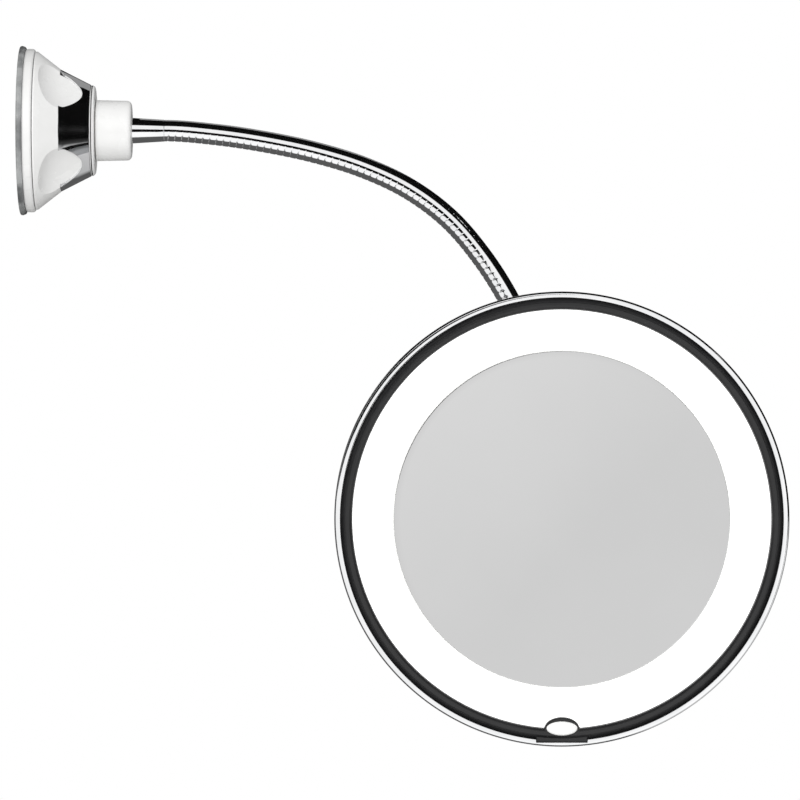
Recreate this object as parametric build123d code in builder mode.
"""Lit magnifying mirror on a bendable neck, held by a twist-lock suction base.

+Z is up, the base's axis runs along +X away from the wall, and the mirror looks along -Y.
The origin is the centre of the suction face, on the wall plane x = 0. Millimetres.
"""

from build123d import *
import os
from math import asin, cos, degrees, radians, sin, sqrt

os.makedirs("parts", exist_ok=True)

# ---------------------------------------------------------------- driving dimensions

# clearances
run_gap = 0.05  # a shaft turning or sliding in its bore
slip_gap = 0.1  # pieces that are pushed together by hand
screw_r = 1.0
screw_pass_r = 1.2
screw_room_r = 1.3
free_gap = 0.3  # pieces that pass each other without touching

# suction base, turned about X
cup_r = 33.9
cup_lip = 2.2  # thickness at the rim
cup_seal_r = 26.0  # inside this radius the cup is hollowed away from the wall
cup_hollow = 1.0
cup_boss_r = 10.0
cup_boss_x = 5.0
flange_r = 32.7
flange_back = 6.0
plate_web = 1.5
hub_r = 14.0
hub_back = 11.0
hub_floor = 2.0
lock_travel = 2.5  # how far the stud draws the cup
lock_turn = 90.0  # degrees of the knob for that travel

stud_r = 2.5
stud_disc_r = 8.0
stud_disc = 1.2
pin_r = 1.25
stem_r = 9.5
stem_bore = 5.5
stem_reach = 8.0  # past the knob's cap, inside the neck collar
nut_room_r = 7.0
nut_room = 13.0  # room for the neck nut, under the stem's end wall
stem_wall = 3.0  # the stem's end wall
cam_r = 14.3
cam_wall = 4.1
cam_low = 14.0  # ramp height with the knob unlocked
washer = 0.5

# knob, a cone with four finger scallops
knob_r = 32.1
knob_mid_r = 24.4  # where the steep cone meets the flatter plated one
knob_end = 28.2
knob_end_r = 18.3
scallops = 4
scallop_depth = 4.0
scallop_cross_r = 60.0  # curvature across a scallop
scallop_bow = 13.0  # opening of its parabolic outline
scallop_step = 1.2  # how far the dish would run on past the tip, which leaves a crisp edge
scallop_tip_gap = 2.8  # from the knob's outer end back to a scallop's tip
knob_web = 3.7  # wall that rides on the stem
knob_recess = 2.5  # sunk end of the knob, under its cap
plating_start = 16.2
plating = 0.8
cap_r = 18.1
cap_thick = 1.8
collar_r = 12.2
collar_web = 6.5  # past the stem's end

# bendable neck
ferrule_r = 5.15
ferrule_tip_r = 4.35
thread_r = 4.0  # threaded end of the ferrule, inside the base
ferrule_length = 14.7
neck_r = 4.2
link_length = 19.97
link_wall = 0.8  # of the cup around the next link's ball, over the grooves
link_ball_r = neck_r - link_wall
link_gap = 1.6  # from a bend's centre to the turns on either side
turns = 6  # wound turns to a link
groove = 0.4
# each link's heading: degrees below level, and degrees towards the user
link_droop = [4.8, 8.6, 12.1, 17.3, 25.3, 36.7, 49.2, 57.5, 65.0, 72.0, 81.0, 87.0, 90.0, 90.0]
link_lean = [0, 0, 0, 0, 0, 0, 0, 0, 0, 5, 19, 38, 58, 78]

# head: radii about the mirror's axis, depths behind the front of the bezel
rim_r = 86.8
rim_wall = 2.4
rim_front = 0.4
rim_depth = 17.0
bezel_r = rim_r - rim_wall - slip_gap
bezel_face = 4.2
bezel_inner_r = bezel_r - bezel_face
bezel_depth = 5.5
lamp_r = bezel_inner_r - 2 * slip_gap
lamp_inner_r = 64.5
lamp_front = 1.8
lamp_thick = 2.2
glass_r = lamp_inner_r - free_gap
glass = 2.0
glass_front = 1.5
glass_curve_r = 500.0
tray_floor = 8.0
tray_thick = 1.5
shell_wall = 2.0
shell_shoulder_r = bezel_r - 7.3
shell_flat_r = shell_shoulder_r - 13.0
shell_shoulder = 22.2
shell_depth = 24.0
post_r = 3.5
post_x = 50.0
post_z = 30.0
led_count = 30

# ball joint behind the head
ball_r = 7.5
liner = 1.2
ball_depth = 27.0
ball_stalk_r = 2.6
ball_stalk = 13.0  # from the ball's centre to the head ferrule
socket_opening = 60.0  # half angle of the mouth, degrees
liner_opening = 52.0
socket_r = 13.2
socket_flange_r = 21.0
socket_flange = 2.0
socket_screw_pcd_r = 17.2

# power button, an oval in the lower edge of the bezel
button_r = bezel_inner_r - 0.3
button_w = 11.8
button_h = 5.8
button_proud = 0.6
button_travel = 0.8
button_rim = 1.5
tab_w = 19.5
tab_reach = 0.8

# battery bay: three AAA cells lying across the head
cell_r = 5.2
cell_length = 44.0
cell_pitch = 10.8
cell_count = 3
bay_z = -39.5
bay_wall = 1.5
contact = 0.4
contact_room = 1.5
door = 1.8
door_w = 46.0
door_h = 34.0

# ---------------------------------------------------------------- shared geometry

pieces = []


def turned(section, axis, *outline):
    """A body of revolution from a closed outline of straight sides."""
    with BuildPart() as body:
        with BuildSketch(section):
            with BuildLine():
                Polyline(*outline, close=True)
            make_face()
        revolve(axis=axis)
    return body.part


def finish(part, label):
    """Name a finished piece and keep it for export."""
    part.label = label
    pieces.append(part)


base_section = Plane.XZ  # local x along the base's axis, local y outwards
base_axis = Axis.X


def base_disc(x):
    """Plane across the base's axis: local x is +Y, local y is +Z."""
    return Plane(origin=(x, 0, 0), x_dir=(0, 1, 0), z_dir=(1, 0, 0))


# ---------------------------------------------------------------- suction base

recess_x = flange_back - plate_web + 1.0  # front of the web, clear of the lifted cup
web_back = recess_x + plate_web
stud_seat = cup_boss_x - 2 * stud_disc  # front of the stud's disc inside the boss
pin_x = cam_low + pin_r + slip_gap

with BuildPart() as suction_cup:
    add(
        turned(
            base_section,
            base_axis,
            (cup_hollow, 0),
            (cup_hollow, cup_seal_r - 2),
            (0, cup_seal_r),
            (0, cup_r - 0.5),
            (0.6, cup_r),
            (cup_lip - 0.6, cup_r),
            (cup_lip, cup_r - 0.6),
            (cup_lip, cup_boss_r + 2),
            (cup_boss_x, cup_boss_r),
            (cup_boss_x, 0),
        )
    )
    with BuildSketch(base_disc(stud_seat - run_gap)):
        Circle(stud_disc_r + run_gap)
    extrude(amount=stud_disc + 2 * run_gap, mode=Mode.SUBTRACT)
    with BuildSketch(base_disc(stud_seat)):
        Rectangle(2 * (stud_r + run_gap), 2 * (stud_r + run_gap))
    extrude(amount=cup_boss_x, mode=Mode.SUBTRACT)
finish(suction_cup.part, "suction_cup")

with BuildPart() as lock_stud:
    with BuildSketch(base_disc(stud_seat)):
        Circle(stud_disc_r)
    extrude(amount=stud_disc)
    with BuildSketch(base_disc(stud_seat + stud_disc)):
        Rectangle(2 * stud_r, 2 * stud_r)
    extrude(amount=hub_back - stud_seat - stud_disc)
    with BuildSketch(base_disc(hub_back)):
        Circle(stud_r)
    extrude(amount=pin_x + 2 * pin_r - hub_back)
    with BuildSketch(Plane.XY):
        with Locations((pin_x, 0)):
            Circle(pin_r)
    extrude(amount=2 * stud_r, both=True, mode=Mode.SUBTRACT)
finish(lock_stud.part, "lock_stud")

with BuildPart() as cross_pin:
    with BuildSketch(Plane.XY):
        with Locations((pin_x, 0)):
            Circle(pin_r)
    extrude(amount=cam_r - 2 * free_gap, both=True)
    chamfer(cross_pin.edges().filter_by(GeomType.CIRCLE), 0.3)
finish(cross_pin.part, "cross_pin")

with BuildPart() as base_plate:
    add(
        turned(
            base_section,
            base_axis,
            (cup_lip, flange_r - 5),
            (cup_lip, flange_r - 0.6),
            (cup_lip + 0.6, flange_r),
            (flange_back - 0.6, flange_r),
            (flange_back, flange_r - 0.6),
            (flange_back, flange_r - 4.6),
            (web_back, flange_r - 5),
            (web_back, hub_r),
            (hub_back, hub_r),
            (hub_back, 0),
            (hub_back - hub_floor, 0),
            (hub_back - hub_floor, cup_boss_r + 1),
            (recess_x, cup_boss_r + 1),
            (recess_x, flange_r - 5),
        )
    )
    with BuildSketch(base_disc(0)):
        Rectangle(2 * (stud_r + run_gap), 2 * (stud_r + run_gap))
    extrude(amount=hub_back, mode=Mode.SUBTRACT)
    with BuildSketch(base_disc(0)):
        with PolarLocations((stem_bore + stem_r) / 2, 3):
            Circle(screw_room_r)
    extrude(amount=hub_back, mode=Mode.SUBTRACT)
finish(base_plate.part, "base_plate")

cap_end = knob_end + cap_thick
stem_end = cap_end + stem_reach
collar_end = stem_end + collar_web
stem_bore_end = stem_end - stem_wall - nut_room
with BuildPart() as stem:
    add(
        turned(
            base_section,
            base_axis,
            (hub_back, stem_bore),
            (hub_back, stem_r),
            (knob_end - 2, stem_r),
            (knob_end - 2, stem_r - 0.8),
            (knob_end - 1, stem_r - 0.8),
            (knob_end - 1, stem_r),
            (stem_end, stem_r),
            (stem_end, thread_r + run_gap),
            (stem_end - stem_wall, thread_r + run_gap),
            (stem_end - stem_wall, nut_room_r),
            (stem_bore_end, nut_room_r),
            (stem_bore_end, stem_bore),
        )
    )
    # two slots let the cross pin slide along the stem
    with BuildSketch(Plane.XY):
        with Locations((pin_x + lock_travel / 2, 0)):
            SlotOverall(
                lock_travel + 2 * (pin_r + slip_gap), 2 * (pin_r + slip_gap)
            )
    extrude(amount=2 * stem_r, both=True, mode=Mode.SUBTRACT)
    with BuildSketch(base_disc(hub_back)):
        with PolarLocations((stem_bore + stem_r) / 2, 3):
            Circle(screw_r)
    extrude(amount=5.5, mode=Mode.SUBTRACT)
finish(stem.part, "stem")

with BuildPart() as stem_screws:
    with BuildSketch(base_disc(hub_back - hub_floor - 1.4)):
        with PolarLocations((stem_bore + stem_r) / 2, 3):
            Circle(2.0)
    extrude(amount=1.4)
    with BuildSketch(base_disc(hub_back - hub_floor)):
        with PolarLocations((stem_bore + stem_r) / 2, 3):
            Circle(screw_r)
    extrude(amount=7.0)
finish(stem_screws.part, "stem_screws")

with BuildPart() as thrust_washer:
    with BuildSketch(base_disc(hub_back)):
        Circle(cam_r - free_gap)
        Circle(stem_r + slip_gap, mode=Mode.SUBTRACT)
    extrude(amount=washer)
finish(thrust_washer.part, "thrust_washer")

cam_front = hub_back + washer + slip_gap
cam_step = 15
with BuildPart() as cam_ring:
    with BuildSketch(base_disc(cam_front)):
        Circle(cam_r - run_gap)
        Circle(cam_r - cam_wall, mode=Mode.SUBTRACT)
    extrude(amount=1.2)
    for side in (90, 270):
        for turn in range(-cam_step, int(lock_turn) + cam_step, cam_step):
            for edge in (turn, turn + cam_step):
                rise = min(max(edge / lock_turn, 0), 1) * lock_travel
                height = cam_low + rise - cam_front
                face = Plane(
                    origin=(0, 0, 0),
                    x_dir=(1, 0, 0),
                    z_dir=(0, sin(radians(side - edge)), -cos(radians(side - edge))),
                )
                with BuildSketch(face):
                    with Locations((cam_front + height / 2, -(cam_r - cam_wall / 2))):
                        Rectangle(height, cam_wall - 2 * slip_gap)
            loft(ruled=True)
finish(cam_ring.part, "cam_ring")

# the two cones, and one scallop: an ellipsoid that dips below them
knob_start = flange_back + free_gap
slope = (knob_r - knob_mid_r) / (plating_start - knob_start)
plated_slope = (knob_mid_r - knob_end_r) / (knob_end - plating_start)
plated_drop = plating * sqrt(1 + plated_slope**2)


def cone_r(x):
    """Radius of the knob at x."""
    if x < plating_start:
        return knob_r - slope * (x - knob_start)
    return knob_mid_r - plated_slope * (x - plating_start)


dish_start = knob_start + 2.0
scallop_tip_x = knob_end - scallop_tip_gap
dish_end = scallop_tip_x + scallop_step
dish_slope = (cone_r(dish_start) - cone_r(dish_end)) / (dish_end - dish_start)
lean_length = sqrt(1 + dish_slope**2)
dish_chord = (dish_end - dish_start) * lean_length
dish_r = (dish_chord**2 / 4 + scallop_depth**2) / (2 * scallop_depth)
dish_lift = dish_r - scallop_depth
dish_centre = Vector(
    (dish_start + dish_end) / 2 + dish_lift * dish_slope / lean_length,
    0,
    (cone_r(dish_start) + cone_r(dish_end)) / 2 + dish_lift / lean_length,
)
# the scallop's outline on the cone, a parabola that opens from the tip to the rim
tip_face = Plane(
    origin=(scallop_tip_x, 0, cone_r(scallop_tip_x)),
    x_dir=(-1, 0, dish_slope),
    z_dir=(dish_slope, 0, 1),
)
outline = [
    (dish_chord * step**2, sqrt(scallop_bow * dish_chord) * step)
    for step in (0, 0.2, 0.4, 0.6, 0.8, 1.1)
]
with BuildPart() as dish:
    with BuildSketch(Plane(origin=dish_centre, x_dir=(1, 0, 0), z_dir=(0, 0, 1))):
        Ellipse(dish_r, sqrt(dish_r * scallop_cross_r))
        Rectangle(2 * dish_r, 6 * dish_r, align=(Align.MAX, Align.CENTER), mode=Mode.SUBTRACT)
    revolve(axis=Axis(dish_centre, (0, 1, 0)))
    with BuildSketch(tip_face):
        with BuildLine():
            Spline(*outline, tangents=[(0, 1), (1, 0.4)])
            mirror(about=Plane.XZ)
            Line(outline[-1], (outline[-1][0], -outline[-1][1]))
        make_face()
    extrude(amount=2 * dish_r, both=True, mode=Mode.INTERSECT)
dishes = [dish.part.rotate(Axis.X, 45 + 360 / scallops * k) for k in range(scallops)]

knob_floor = knob_end - knob_recess
cam_room_end = knob_floor - knob_web
with BuildPart() as lock_knob:
    add(
        turned(
            base_section,
            base_axis,
            (knob_start, flange_r - 4.4),
            (knob_start, knob_r - 0.5),
            (knob_start + 0.6, cone_r(knob_start + 0.6)),
            (plating_start, knob_mid_r),
            (plating_start, knob_mid_r - plated_drop),
            (knob_end, knob_end_r - plated_drop),
            (knob_end, collar_r + 0.4),
            (knob_floor, collar_r + 0.4),
            (knob_floor, stem_r + slip_gap),
            (cam_room_end, stem_r + slip_gap),
            (cam_room_end, cam_r),
            (web_back + free_gap, cam_r),
            (web_back + free_gap, flange_r - 4.4),
        )
    )
    add(dishes, mode=Mode.SUBTRACT)
finish(lock_knob.part, "lock_knob")

with BuildPart() as plated_cone:
    add(
        turned(
            base_section,
            base_axis,
            (plating_start, knob_mid_r - plated_drop),
            (plating_start, knob_mid_r),
            (knob_end, knob_end_r),
            (knob_end, knob_end_r - plated_drop),
        )
    )
    add(dishes, mode=Mode.SUBTRACT)
finish(plated_cone.part, "plated_cone")

with BuildPart() as knob_cap:
    add(
        turned(
            base_section,
            base_axis,
            (knob_end, collar_r + 0.4),
            (knob_end, cap_r),
            (cap_end, cap_r),
            (cap_end, collar_r + 0.4),
        )
    )
    rims = knob_cap.edges().filter_by(GeomType.CIRCLE).group_by(Axis.X)
    fillet(rims[-1].sort_by(SortBy.RADIUS)[-1], 1.3)
    fillet(rims[0].sort_by(SortBy.RADIUS)[-1], 0.3)
finish(knob_cap.part, "knob_cap")

with BuildPart() as stem_clip:
    with BuildSketch(base_disc(knob_end - 2 + run_gap)):
        Circle(stem_r + 1.6)
        Circle(stem_r - 0.8 + run_gap, mode=Mode.SUBTRACT)
        with Locations((0, -stem_r)):
            Rectangle(8, 8, mode=Mode.SUBTRACT)
    extrude(amount=1 - 2 * run_gap)
finish(stem_clip.part, "stem_clip")

collar_start = cap_end + free_gap
screw_x = stem_end - 4
with BuildPart() as neck_collar:
    add(
        turned(
            base_section,
            base_axis,
            (collar_start, stem_r),
            (collar_start, collar_r),
            (collar_end, collar_r - 0.3),
            (collar_end, ferrule_r - 1 + run_gap),
            (stem_end, ferrule_r - 1 + run_gap),
            (stem_end, stem_r),
        )
    )
    outer = neck_collar.edges().filter_by(GeomType.CIRCLE).group_by(Axis.X)[-1]
    fillet(outer.sort_by(SortBy.RADIUS)[-1], 1.8)
    with BuildSketch(Plane.XY):
        with Locations((screw_x, 0)):
            Circle(1.5)
    extrude(amount=-collar_r, mode=Mode.SUBTRACT)
finish(neck_collar.part, "neck_collar")

with BuildPart() as collar_screw:
    with BuildSketch(Plane.XY.offset(-stem_r)):
        with Locations((screw_x, 0)):
            Circle(1.5)
    extrude(amount=-(collar_r - stem_r - 0.5))
    with BuildSketch(Plane.XY.offset(-collar_r + 0.5)):
        with Locations((screw_x, 0)):
            RegularPolygon(0.8, 6)
    extrude(amount=1.2, mode=Mode.SUBTRACT)
finish(collar_screw.part, "collar_screw")

shank_r = ferrule_r - 1
nut_x = stem_end - stem_wall - 4
with BuildPart() as neck_nut:
    with BuildSketch(base_disc(nut_x)):
        RegularPolygon(nut_room_r - 0.6, 6)
        Circle(thread_r + run_gap, mode=Mode.SUBTRACT)
    extrude(amount=4)
finish(neck_nut.part, "neck_nut")

neck_start = collar_end + ferrule_length
with BuildPart() as base_ferrule:
    add(
        turned(
            base_section,
            base_axis,
            (nut_x - 1, 0),
            (nut_x - 1, thread_r),
            (stem_end, thread_r),
            (stem_end, shank_r),
            (collar_end, shank_r),
            (collar_end, ferrule_r),
            (neck_start - link_gap, ferrule_tip_r),
            (neck_start - link_gap, 0),
        )
    )
    with Locations((neck_start, 0, 0)):
        Sphere(link_ball_r)
finish(base_ferrule.part, "base_ferrule")

# ---------------------------------------------------------------- bendable neck

# headings and bend centres from the base ferrule to the head ferrule
headings = [
    Vector(
        cos(radians(droop)) * cos(radians(lean)),
        -sin(radians(lean)),
        -sin(radians(droop)) * cos(radians(lean)),
    )
    for droop, lean in zip(link_droop, link_lean)
]
bends = [Vector(neck_start, 0, 0)]
for heading in headings:
    bends.append(bends[-1] + heading * link_length)


def along(origin, heading):
    """Plane whose local x runs along a link and whose local y is its radius."""
    across = Vector(0, 1, 0) if abs(heading.Y) < 0.9 else Vector(0, 0, 1)
    return Plane(origin=origin, x_dir=heading, z_dir=heading.cross(across))


turn_pitch = (link_length - 2 * link_gap) / turns
cup_ball_r = link_ball_r + run_gap
for number, (start, heading) in enumerate(zip(bends, headings), 1):
    flanks = []
    for turn in range(turns):
        x = link_gap + turn * turn_pitch
        flanks += [
            (x, neck_r - groove),
            (x + 0.25 * turn_pitch, neck_r),
            (x + 0.75 * turn_pitch, neck_r),
        ]
    end = link_length - link_gap
    flanks.append((end, neck_r - groove))
    cup_mouth = (link_gap, sqrt(cup_ball_r**2 - link_gap**2))
    ball_root = (end, sqrt(link_ball_r**2 - link_gap**2))
    with BuildPart() as link:
        with BuildSketch(along(start, heading)):
            with BuildLine():
                CenterArc((0, 0), cup_ball_r, 0, degrees(asin(cup_mouth[1] / cup_ball_r)))
                Polyline(cup_mouth, *flanks, ball_root)
                ThreePointArc(ball_root, (link_length, link_ball_r), (link_length + link_ball_r, 0))
                Line((link_length + link_ball_r, 0), (cup_ball_r, 0))
            make_face()
        revolve(axis=Axis(start, heading))
    finish(link.part, f"neck_{number:02d}")

# ---------------------------------------------------------------- head ferrule and ball

head_ferrule_back = ball_depth + ball_stalk + ferrule_length - 0.7
neck_end = bends[-1]
face_y = neck_end.Y - head_ferrule_back - link_gap
mirror_axis = Axis((neck_end.X, face_y, neck_end.Z), (0, 1, 0))


def head_disc(depth):
    """Plane across the mirror's axis, facing the user: local x is +X, local y is +Z."""
    return Plane(
        origin=(neck_end.X, face_y + depth, neck_end.Z), x_dir=(1, 0, 0), z_dir=(0, -1, 0)
    )


# local x is the radius, local y the depth behind the face
head_section = Plane(
    origin=(neck_end.X, face_y, neck_end.Z), x_dir=(1, 0, 0), z_dir=(0, 0, 1)
)
ball_centre = head_disc(ball_depth).origin
stalk_end = ball_depth + ball_stalk

with BuildPart() as head_ferrule:
    add(
        turned(
            head_section,
            mirror_axis,
            (ball_stalk_r + run_gap, stalk_end),
            (ferrule_r, stalk_end),
            (ferrule_tip_r, head_ferrule_back),
            (0, head_ferrule_back),
            (0, stalk_end + 10 + slip_gap),
            (ball_stalk_r + 0.9, stalk_end + 10 + slip_gap),
            (ball_stalk_r + 0.9, stalk_end + 8 - slip_gap),
            (ball_stalk_r + run_gap, stalk_end + 8 - slip_gap),
        )
    )
    with Locations(neck_end):
        Sphere(link_ball_r + run_gap, mode=Mode.SUBTRACT)
finish(head_ferrule.part, "head_ferrule")

with BuildPart() as ball_stud:
    with Locations(ball_centre):
        Sphere(ball_r)
    add(
        turned(
            head_section,
            mirror_axis,
            (0, ball_depth),
            (ball_stalk_r, ball_depth),
            (ball_stalk_r, stalk_end + 8),
            (ball_stalk_r + 0.8, stalk_end + 8),
            (ball_stalk_r + 0.8, stalk_end + 10),
            (0, stalk_end + 10),
        )
    )
finish(ball_stud.part, "ball_stud")

liner_r = ball_r + run_gap + liner
cavity_r = liner_r + run_gap


def mouth_depth(radius, opening):
    """Depth at which a sphere about the ball's centre is cut to leave its mouth."""
    return ball_depth + radius * cos(radians(opening))


with BuildPart() as ball_liner:
    with Locations(ball_centre):
        Sphere(liner_r)
        Sphere(ball_r + run_gap, mode=Mode.SUBTRACT)
    with BuildSketch(head_disc(mouth_depth(liner_r, liner_opening))):
        Circle(liner_r)
    extrude(amount=-liner_r, mode=Mode.SUBTRACT)
finish(ball_liner.part, "ball_liner")

# ---------------------------------------------------------------- socket

bay_w = cell_length + 2 * contact_room + 2 * bay_wall
bay_h = cell_count * cell_pitch + 0.6 + 2 * bay_wall
bay_top = bay_z + bay_h / 2

shell_inside = shell_depth - shell_wall
with BuildPart() as socket_cup:
    add(
        turned(
            head_section,
            mirror_axis,
            (0, ball_depth - cavity_r - shell_wall),
            (socket_r, ball_depth - cavity_r - shell_wall),
            (socket_r, shell_inside - socket_flange),
            (socket_flange_r, shell_inside - socket_flange),
            (socket_flange_r, shell_inside),
            (socket_r, shell_inside),
            (socket_r, ball_depth),
            (0, ball_depth),
        )
    )
    with Locations(ball_centre):
        Sphere(cavity_r, mode=Mode.SUBTRACT)
    with BuildSketch(head_disc(shell_inside)):
        with PolarLocations(socket_screw_pcd_r, 3, 90):
            Circle(screw_r)
        # a flat on the flange clears the battery box
        with Locations((0, bay_top + free_gap)):
            Rectangle(3 * socket_r, socket_flange_r, align=(Align.CENTER, Align.MAX))
    extrude(amount=socket_flange, mode=Mode.SUBTRACT)
finish(socket_cup.part, "socket_cup")

cap_mouth = mouth_depth(cavity_r, socket_opening)
mouth_r = cavity_r * sin(radians(socket_opening))
with BuildPart() as socket_cap:
    add(
        turned(
            head_section,
            mirror_axis,
            (socket_r + slip_gap, shell_depth),
            (socket_flange_r, shell_depth),
            (socket_flange_r, shell_depth + socket_flange - 0.6),
            (socket_flange_r - 0.6, shell_depth + socket_flange),
            (socket_r + 1.6, shell_depth + socket_flange),
            (socket_r + 0.6, shell_depth + socket_flange + 2.2),
            (mouth_r + 2.6, cap_mouth + 0.9),
            (mouth_r + 1.5, cap_mouth + 1.2),
            (0, cap_mouth + 1.2),
            (0, ball_depth),
            (socket_r + slip_gap, ball_depth),
        )
    )
    with Locations(ball_centre):
        Sphere(cavity_r, mode=Mode.SUBTRACT)
    with BuildSketch(head_disc(cap_mouth)):
        Circle(mouth_r)
    extrude(amount=-5, mode=Mode.SUBTRACT)
    with BuildSketch(head_disc(shell_depth + socket_flange)):
        with PolarLocations(socket_screw_pcd_r, 3, 90):
            Circle(screw_pass_r)
    extrude(amount=socket_flange, mode=Mode.SUBTRACT)
finish(socket_cap.part, "socket_cap")

with BuildPart() as socket_screws:
    with BuildSketch(head_disc(shell_depth + socket_flange)):
        with PolarLocations(socket_screw_pcd_r, 3, 90):
            Circle(2.1)
    extrude(amount=-1.2)
    with BuildSketch(head_disc(shell_depth + socket_flange)):
        with PolarLocations(socket_screw_pcd_r, 3, 90):
            Circle(screw_r)
    extrude(amount=2 * socket_flange + shell_wall)
    # crossed driver slots
    with BuildSketch(head_disc(shell_depth + socket_flange + 1.2)):
        with PolarLocations(socket_screw_pcd_r, 3, 90):
            Rectangle(2.4, 0.5)
            Rectangle(0.5, 2.4)
    extrude(amount=0.6, mode=Mode.SUBTRACT)
finish(socket_screws.part, "socket_screws")

# ---------------------------------------------------------------- casing

tray_back = tray_floor + tray_thick
posts = [(x, z) for x in (-post_x, post_x) for z in (-post_z, post_z)]

with BuildPart() as rear_shell:
    with BuildSketch(head_section):
        with BuildLine():
            Polyline((bezel_r - shell_wall, tray_back), (bezel_r, tray_back), (bezel_r, rim_depth))
            ThreePointArc(
                (bezel_r, rim_depth),
                (shell_shoulder_r, shell_shoulder),
                (shell_flat_r, shell_depth),
            )
            Polyline(
                (shell_flat_r, shell_depth),
                (socket_r + slip_gap, shell_depth),
                (socket_r + slip_gap, shell_inside),
                (shell_flat_r, shell_inside),
            )
            ThreePointArc(
                (shell_flat_r, shell_inside),
                (shell_shoulder_r - 1.0, shell_shoulder - 1.8),
                (bezel_r - shell_wall, rim_depth - 0.6),
            )
            Line(
                (bezel_r - shell_wall, rim_depth - 0.6),
                (bezel_r - shell_wall, tray_back),
            )
        make_face()
    revolve(axis=mirror_axis)
    with BuildSketch(head_disc(tray_back)):
        with Locations(*posts):
            Circle(post_r)
    extrude(amount=-(shell_inside - tray_back))
    with BuildSketch(head_disc(tray_back)):
        with Locations(*posts):
            Circle(screw_r)
    extrude(amount=-8, mode=Mode.SUBTRACT)
    with BuildSketch(head_disc(shell_inside)):
        with Locations((0, bay_z)):
            RectangleRounded(door_w, door_h, 2)
    extrude(amount=-shell_wall, mode=Mode.SUBTRACT)
    with BuildSketch(head_disc(shell_inside)):
        with PolarLocations(socket_screw_pcd_r, 3, 90):
            Circle(screw_pass_r)
    extrude(amount=-shell_wall, mode=Mode.SUBTRACT)
finish(rear_shell.part, "rear_shell")

with BuildPart() as rim_ring:
    add(
        turned(
            head_section,
            mirror_axis,
            (rim_r - rim_wall, rim_front),
            (rim_r, rim_front),
            (rim_r, rim_depth),
            (rim_r - rim_wall, rim_depth),
        )
    )
    front = rim_ring.edges().filter_by(GeomType.CIRCLE).group_by(Axis.Y)[0]
    fillet(front.sort_by(SortBy.RADIUS)[-1], 1.3)
    fillet(front.sort_by(SortBy.RADIUS)[0], 0.5)
    back = rim_ring.edges().filter_by(GeomType.CIRCLE).group_by(Axis.Y)[-1]
    fillet(back.sort_by(SortBy.RADIUS)[-1], 1.0)
    # notch in the front edge for the bezel's tab
    with BuildSketch(head_disc(rim_front - 1)):
        with Locations((0, -bezel_r)):
            Rectangle(tab_w + 2 * slip_gap, 2 * (tab_reach + slip_gap))
    extrude(amount=-(bezel_depth + 1), mode=Mode.SUBTRACT)
finish(rim_ring.part, "rim_ring")

button_at = (0, -button_r)
pad_front = 0.5
with BuildPart() as bezel_ring:
    with BuildSketch(head_section):
        with BuildLine():
            Polyline(
                (bezel_inner_r, 1.2),
                (bezel_inner_r, bezel_depth),
                (bezel_r, bezel_depth),
                (bezel_r, 1.4),
            )
            ThreePointArc(
                (bezel_r, 1.4),
                ((bezel_r + bezel_inner_r) / 2, 0),
                (bezel_inner_r, 1.2),
            )
        make_face()
    revolve(axis=mirror_axis)
    # the arch round the button ends under the ring's crown
    with BuildSketch(head_disc(pad_front)):
        with Locations(button_at):
            Ellipse(button_w / 2 + button_rim, button_h / 2 + button_rim)
        Circle((bezel_r + bezel_inner_r) / 2, mode=Mode.INTERSECT)
    extrude(amount=-(bezel_depth - pad_front))
    # the tab below it reaches into the rim
    with BuildSketch(head_disc(pad_front + 0.6)):
        with Locations((0, 1 - bezel_r)):
            Rectangle(tab_w, 1 + tab_reach, align=(Align.CENTER, Align.MAX))
    extrude(amount=-(bezel_depth - pad_front - 0.6))
    with BuildSketch(head_disc(bezel_depth)):
        with Locations(button_at):
            Ellipse(button_w / 2 + slip_gap, button_h / 2 + slip_gap)
    extrude(amount=2 * bezel_depth, mode=Mode.SUBTRACT)
    with BuildSketch(head_disc(2.9)):
        with Locations(button_at):
            Ellipse(button_w / 2 + 0.7, button_h / 2 + 0.7)
    extrude(amount=-bezel_depth, mode=Mode.SUBTRACT)
finish(bezel_ring.part, "bezel_ring")

with BuildPart() as light_diffuser:
    with BuildSketch(head_disc(lamp_front)):
        Circle(lamp_r)
        Circle(lamp_inner_r, mode=Mode.SUBTRACT)
        with Locations(button_at):
            Ellipse(
                button_w / 2 + button_rim + slip_gap,
                button_h / 2 + button_rim + slip_gap,
                mode=Mode.SUBTRACT,
            )
    extrude(amount=-lamp_thick)
finish(light_diffuser.part, "light_diffuser")


def glass_depth(r):
    """Depth of the concave front surface at a radius."""
    return glass_front + sqrt(glass_curve_r**2 - r**2) - sqrt(glass_curve_r**2 - glass_r**2)


with BuildPart() as mirror_glass:
    with BuildSketch(head_disc(glass_front)):
        Circle(glass_r)
    extrude(amount=-(glass_depth(0) + glass))
    with Locations(head_disc(glass_depth(0) - glass_curve_r).origin):
        Sphere(glass_curve_r + glass, mode=Mode.INTERSECT)
        Sphere(glass_curve_r, mode=Mode.SUBTRACT)
finish(mirror_glass.part, "mirror_glass")

pad_in, pad_out = 20.0, 45.0
with BuildPart() as mirror_pad:
    with BuildSketch(head_disc(tray_floor)):
        Circle(pad_out)
        Circle(pad_in, mode=Mode.SUBTRACT)
    extrude(amount=tray_floor - glass_front)
    with Locations(head_disc(glass_depth(0) - glass_curve_r).origin):
        Sphere(glass_curve_r + glass + run_gap, mode=Mode.SUBTRACT)
finish(mirror_pad.part, "mirror_pad")

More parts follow.
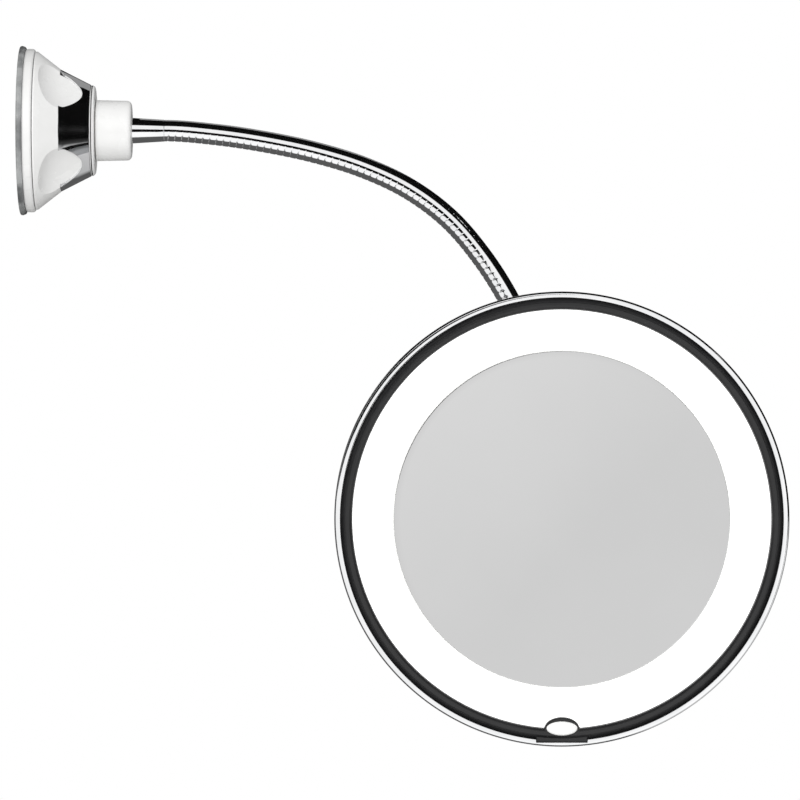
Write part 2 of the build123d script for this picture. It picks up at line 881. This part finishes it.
lamp_back = lamp_front + lamp_thick
with BuildPart() as light_tray:
    add(
        turned(
            head_section,
            mirror_axis,
            (0, tray_floor),
            (lamp_inner_r - 2, tray_floor),
            (lamp_inner_r - 2, lamp_back),
            (lamp_inner_r + 1.4, lamp_back),
            (lamp_inner_r + 1.4, tray_floor),
            (lamp_r - 1.4, tray_floor),
            (lamp_r - 1.4, lamp_back),
            (lamp_r + 0.1, lamp_back),
            (lamp_r + 0.1, bezel_depth + slip_gap),
            (bezel_r - slip_gap, bezel_depth + slip_gap),
            (bezel_r - slip_gap, tray_back),
            (0, tray_back),
        )
    )
    with BuildSketch(head_disc(0)):
        with Locations(button_at):
            Ellipse(
                button_w / 2 + button_rim + slip_gap, button_h / 2 + button_rim + slip_gap
            )
    extrude(amount=-tray_back, mode=Mode.SUBTRACT)
    with BuildSketch(head_disc(tray_floor)):
        with Locations(*posts):
            Circle(screw_room_r)
    extrude(amount=-tray_thick, mode=Mode.SUBTRACT)
finish(light_tray.part, "light_tray")

with BuildPart() as tray_screws:
    with BuildSketch(head_disc(tray_floor)):
        with Locations(*posts):
            Circle(2.4)
    extrude(amount=1.2)
    with BuildSketch(head_disc(tray_floor)):
        with Locations(*posts):
            Circle(screw_r)
    extrude(amount=-8)
finish(tray_screws.part, "tray_screws")

led_ring_r = (lamp_inner_r + lamp_r) / 2
board = 1.2
with BuildPart() as led_board:
    with BuildSketch(head_disc(tray_floor - board)):
        Circle(lamp_r - 2.0)
        Circle(lamp_inner_r + 2.0, mode=Mode.SUBTRACT)
        with Locations(button_at):
            Ellipse(
                button_w / 2 + button_rim + 1, button_h / 2 + button_rim + 1, mode=Mode.SUBTRACT
            )
    extrude(amount=-board)
finish(led_board.part, "led_board")

with BuildPart() as light_chips:
    with BuildSketch(head_disc(tray_floor - board - 1.0)):
        with PolarLocations(led_ring_r, led_count):
            Rectangle(2.8, 3.5)
    extrude(amount=-1.0)
finish(light_chips.part, "light_chips")

# ---------------------------------------------------------------- batteries and switch

bay_front = tray_back + 0.2
cell_depth = bay_front + bay_wall + cell_r + slip_gap

with BuildPart() as battery_box:
    with BuildSketch(head_disc(bay_front)):
        with Locations((0, bay_z)):
            RectangleRounded(bay_w, bay_h, 2)
    extrude(amount=-(shell_inside - bay_front))
    with BuildSketch(head_disc(bay_front + bay_wall)):
        with Locations((0, bay_z)):
            RectangleRounded(bay_w - 2 * bay_wall, bay_h - 2 * bay_wall, 0.5)
    extrude(amount=-shell_inside, mode=Mode.SUBTRACT)
finish(battery_box.part, "battery_box")

cell_rows = [bay_z + cell_pitch * (k - (cell_count - 1) / 2) for k in range(cell_count)]
cell_face = Plane(
    origin=(neck_end.X, face_y + cell_depth, neck_end.Z), x_dir=(0, 1, 0), z_dir=(1, 0, 0)
)
with BuildPart() as batteries:
    with BuildSketch(cell_face.offset(-cell_length / 2)):
        with Locations(*[(0, row) for row in cell_rows]):
            Circle(cell_r)
    extrude(amount=cell_length - 1.0)
    # the raised positive caps, turned end for end from cell to cell
    for k, row in enumerate(cell_rows):
        end = 1 if k % 2 == 0 else -1
        with BuildSketch(cell_face.offset(end * (cell_length / 2 - 1.0))):
            with Locations((0, row)):
                Circle(1.9 if end > 0 else cell_r - 0.4)
        extrude(amount=end * 1.0)
finish(batteries.part, "batteries")

with BuildPart() as battery_contacts:
    for side in (-1, 1):
        with BuildSketch(cell_face.offset(side * (cell_length / 2 + contact_room - contact))):
            with Locations(*[(0, row) for row in cell_rows]):
                Rectangle(8, 9)
        extrude(amount=side * contact)
        with BuildSketch(cell_face.offset(side * (cell_length / 2 + slip_gap))):
            with Locations(*[(0, row) for row in cell_rows]):
                Circle(1.6)
        extrude(amount=side * (contact_room - contact - slip_gap))
finish(battery_contacts.part, "battery_contacts")

with BuildPart() as battery_door:
    with BuildSketch(head_disc(shell_depth - door)):
        with Locations((0, bay_z)):
            RectangleRounded(door_w - 2 * slip_gap, door_h - 2 * slip_gap, 1.9)
    extrude(amount=-door)
    # grip ribs near the edge that the thumb lifts
    with BuildSketch(head_disc(shell_depth)):
        with Locations(*[(0, bay_z - door_h / 2 + 4 + 2 * k) for k in range(4)]):
            SlotOverall(14, 1.0)
    extrude(amount=-0.5)
finish(battery_door.part, "battery_door")

board_top = bay_z - bay_h / 2 - 6
board_low = -(button_r + 1.7)
board_depth = tray_back + 0.5
with BuildPart() as control_board:
    with BuildSketch(head_disc(board_depth)):
        with Locations((0, (board_top + board_low) / 2)):
            Rectangle(14, board_top - board_low)
    extrude(amount=-board)
finish(control_board.part, "control_board")

switch_back = board_depth
switch_front = tray_floor
with BuildPart() as power_switch:
    with BuildSketch(head_disc(switch_front)):
        with Locations((0, -button_r + 0.8)):
            Rectangle(5, 4.4)
    extrude(amount=-(switch_back - switch_front))
    with BuildSketch(head_disc(switch_front - 0.6)):
        with Locations(button_at):
            Circle(0.9)
    extrude(amount=-0.6)
finish(power_switch.part, "power_switch")

with BuildPart() as lead_wires:
    with BuildSketch(Plane.XY.offset(neck_end.Z + bay_z - bay_h / 2)):
        with Locations(*[(neck_end.X + x, face_y + board_depth + board + 1) for x in (-3, 3)]):
            Circle(0.7)
    extrude(amount=-8.0)
finish(lead_wires.part, "lead_wires")

flange_depth = 3.0
with BuildPart() as power_button:
    with BuildSketch(head_disc(-button_proud)):
        with Locations(button_at):
            Ellipse(button_w / 2, button_h / 2)
    extrude(amount=-(flange_depth + button_proud))
    crown = power_button.edges().group_by(Axis.Y)[0]
    fillet(crown, 0.9)
    with BuildSketch(head_disc(flange_depth)):
        with Locations(button_at):
            Ellipse(button_w / 2 + 0.5, button_h / 2 + 0.5)
    extrude(amount=-0.8)
    with BuildSketch(head_disc(flange_depth + 0.8)):
        with Locations(button_at):
            Circle(screw_room_r)
    extrude(amount=-(switch_front - 0.6 - button_travel - slip_gap - flange_depth - 0.8))
finish(power_button.part, "power_button")

# ---------------------------------------------------------------- export

for piece in pieces:
    export_step(piece, f"parts/{piece.label}.step")
